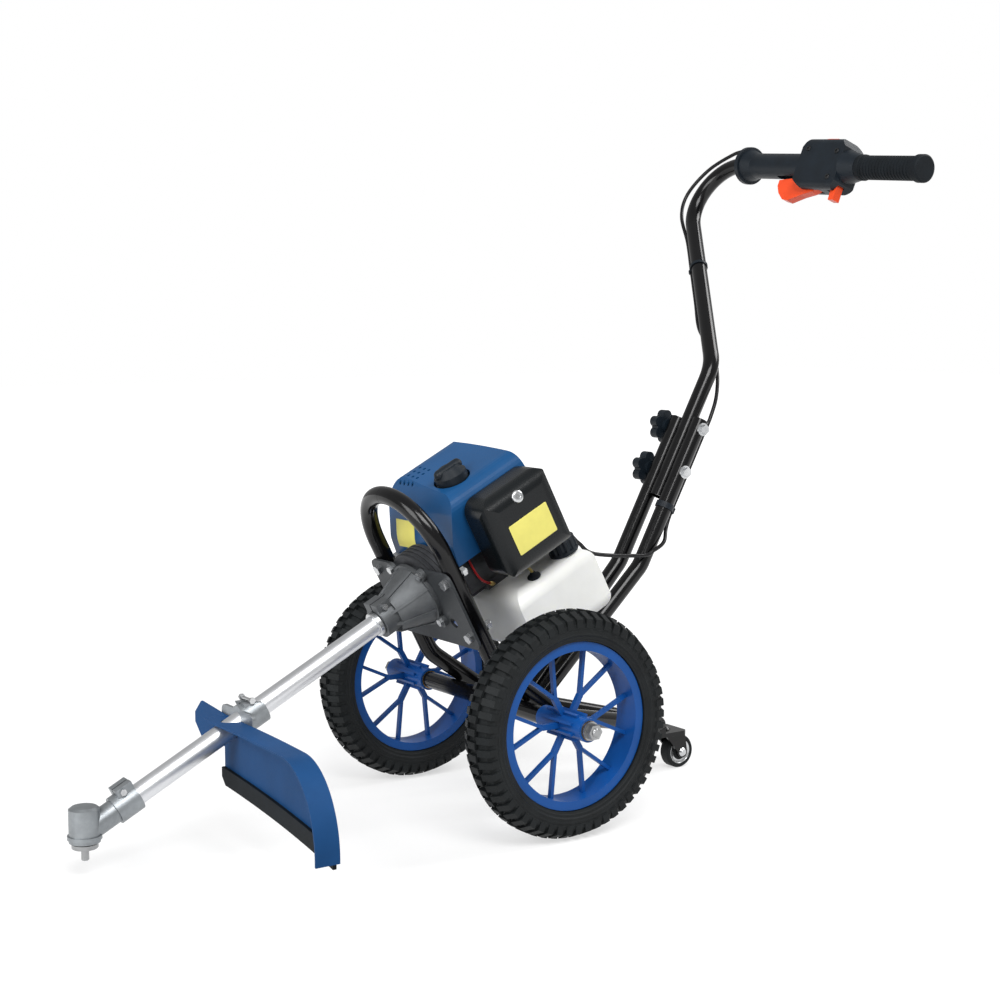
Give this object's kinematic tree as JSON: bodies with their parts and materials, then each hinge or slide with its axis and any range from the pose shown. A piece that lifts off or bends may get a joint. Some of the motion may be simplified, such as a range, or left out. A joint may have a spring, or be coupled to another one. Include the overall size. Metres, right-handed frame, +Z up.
{
  "type": "wheeled string trimmer",
  "caption": "Walk-behind wheeled string trimmer with a petrol engine, spoked wheels, rear caster, forward cutting boom with guard and gear head, and a folding one-sided handle.",
  "frame": {"origin": "on the ground in the middle of the machine's box, below the wheel axle", "axes": "+X forwards to the cutter, +Y to the operator's left, +Z up"},
  "size_m": [1.2727, 0.58, 0.9874],
  "materials": {
    "tyre_rubber": "lugged tread",
    "rim_paint": "moulded",
    "bush_bronze": "turned",
    "frame_paint": "gloss paint",
    "plate_paint": "satin paint",
    "zinc_steel": "zinc plated",
    "boom_alloy": "polished",
    "cast_alloy": "die cast",
    "muffler_steel": "heat tinted",
    "cover_plastic": "moulded",
    "black_plastic": "moulded",
    "orange_plastic": "moulded",
    "black_rubber": "ribbed",
    "tank_plastic": "translucent"
  },
  "bodies": {
    "chassis": {"axle_tube": "frame_paint", "axle_rod": "zinc_steel", "axle_nuts": "zinc_steel", "front_hoop": "frame_paint", "left_rail": "frame_paint", "right_rail": "frame_paint", "cross_tube": "frame_paint", "engine_plate": "plate_paint", "plate_bolts": "zinc_steel", "caster_bracket": "frame_paint", "mast_left_tube": "frame_paint", "mast_right_tube": "frame_paint", "mast_bolts": "zinc_steel", "throttle_cable_lower": "black_rubber", "cable_clip": "black_plastic", "clutch_housing": "cast_alloy", "shaft_bearings": "bush_bronze", "boom_tube": "boom_alloy", "gear_case": "cast_alloy", "clamp_bolts": "zinc_steel", "guard": "cover_plastic", "guard_strip": "black_rubber", "guard_bracket": "cast_alloy", "crankcase": "cast_alloy", "cylinder_block": "cast_alloy", "muffler": "muffler_steel", "engine_cover": "cover_plastic", "plug_cap": "black_plastic", "air_filter_cover": "black_plastic", "carburettor": "cast_alloy", "fuel_tank": "tank_plastic", "recoil_cover": "black_plastic"},
    "left_wheel": {"left_tyre": "tyre_rubber", "left_rim": "rim_paint", "left_hub_bushes": "bush_bronze"},
    "right_wheel": {"right_tyre": "tyre_rubber", "right_rim": "rim_paint", "right_hub_bushes": "bush_bronze"},
    "caster": {"caster_fork": "frame_paint", "caster_pin": "zinc_steel"},
    "caster_roller": {"caster_wheel": "tyre_rubber"},
    "handle": {"handle_tube": "frame_paint", "throttle_shell_front": "black_plastic", "throttle_shell_rear": "black_plastic", "rubber_grip": "black_rubber", "throttle_cable_upper": "black_rubber", "cable_tie": "black_plastic"},
    "trigger": {"throttle_trigger": "orange_plastic"},
    "lock": {"lock_button": "orange_plastic"},
    "stop": {"stop_switch": "orange_plastic"},
    "upper_star": {"upper_knob": "black_plastic"},
    "lower_star": {"lower_knob": "black_plastic"},
    "tank_cap": {"fuel_cap": "black_plastic"},
    "choke": {"choke_lever": "black_plastic"},
    "starter": {"starter_grip": "black_plastic"},
    "crank": {"clutch_rotor": "zinc_steel"},
    "drive": {"clutch_drum": "zinc_steel", "drive_shaft": "zinc_steel", "bevel_pinion": "zinc_steel"},
    "spindle": {"output_spindle": "zinc_steel"}
  },
  "joints": [
    {"name": "left_wheel_spin", "type": "hinge", "parent": "chassis", "child": "left_wheel", "pos_m": [0, 0.178, 0.1575], "axis": [0, 1, 0], "continuous": true},
    {"name": "right_wheel_spin", "type": "hinge", "parent": "chassis", "child": "right_wheel", "pos_m": [0, -0.222, 0.1575], "axis": [0, 1, 0], "continuous": true},
    {"name": "caster_swivel", "type": "hinge", "parent": "chassis", "child": "caster", "pos_m": [-0.341, -0.022, 0.061], "axis": [0, 0, 1], "continuous": true},
    {"name": "caster_wheel_spin", "type": "hinge", "parent": "caster", "child": "caster_roller", "pos_m": [-0.366, -0.022, 0.026], "axis": [0, 1, 0], "continuous": true},
    {"name": "handle_fold", "type": "hinge", "parent": "chassis", "child": "handle", "pos_m": [-0.344, -0.022, 0.472], "axis": [0, 1, 0], "range_deg": [0, 95]},
    {"name": "trigger_pull", "type": "hinge", "parent": "handle", "child": "trigger", "pos_m": [-0.59098, 0.04852, 0.91944], "axis": [-0.9394, 0.0129, -0.3425], "range_deg": [0, 6], "stiffness_Nm_per_rad": 1, "springref_deg": -5.73},
    {"name": "lock_press", "type": "slide", "parent": "handle", "child": "lock", "axis": [0.3402, -0.0862, -0.9364], "range_m": [0, 0.003], "stiffness_N_per_m": 400, "springref_m": -0.002},
    {"name": "stop_switch_rock", "type": "hinge", "parent": "handle", "child": "stop", "pos_m": [-0.58727, 0.08785, 0.91076], "axis": [-0.9394, 0.0129, -0.3425], "range_deg": [-8, 8]},
    {"name": "upper_knob_turn", "type": "hinge", "parent": "chassis", "child": "upper_star", "pos_m": [-0.37883, -0.072, 0.53615], "axis": [0, 1, 0], "continuous": true},
    {"name": "lower_knob_turn", "type": "hinge", "parent": "chassis", "child": "lower_star", "pos_m": [-0.344, -0.072, 0.472], "axis": [0, 1, 0], "continuous": true},
    {"name": "fuel_cap_turn", "type": "hinge", "parent": "chassis", "child": "tank_cap", "pos_m": [-0.08565, 0.052, 0.37879], "axis": [0.4617, 0, 0.887], "continuous": true},
    {"name": "choke_turn", "type": "hinge", "parent": "chassis", "child": "choke", "pos_m": [-0.03247, 0.048, 0.40297], "axis": [0, -1, 0], "range_deg": [0, 60]},
    {"name": "starter_pull", "type": "slide", "parent": "chassis", "child": "starter", "axis": [0, -1, 0], "range_m": [0, 0.3], "stiffness_N_per_m": 20, "springref_m": -0.05},
    {"name": "crank_spin", "type": "hinge", "parent": "chassis", "child": "crank", "pos_m": [0.112, -0.022, 0.321], "axis": [0.887, 0, -0.4617], "continuous": true},
    {"name": "drive_spin", "type": "hinge", "parent": "chassis", "child": "drive", "pos_m": [0.112, -0.022, 0.321], "axis": [0.887, 0, -0.4617], "continuous": true},
    {"name": "spindle_spin", "type": "hinge", "parent": "chassis", "child": "spindle", "pos_m": [0.61316, -0.022, 0.06011], "axis": [0, 0, -1], "continuous": true}
  ],
  "couplings": [
    {"joint": "spindle_spin", "follows": "drive_spin", "ratio": -0.73684}
  ]
}
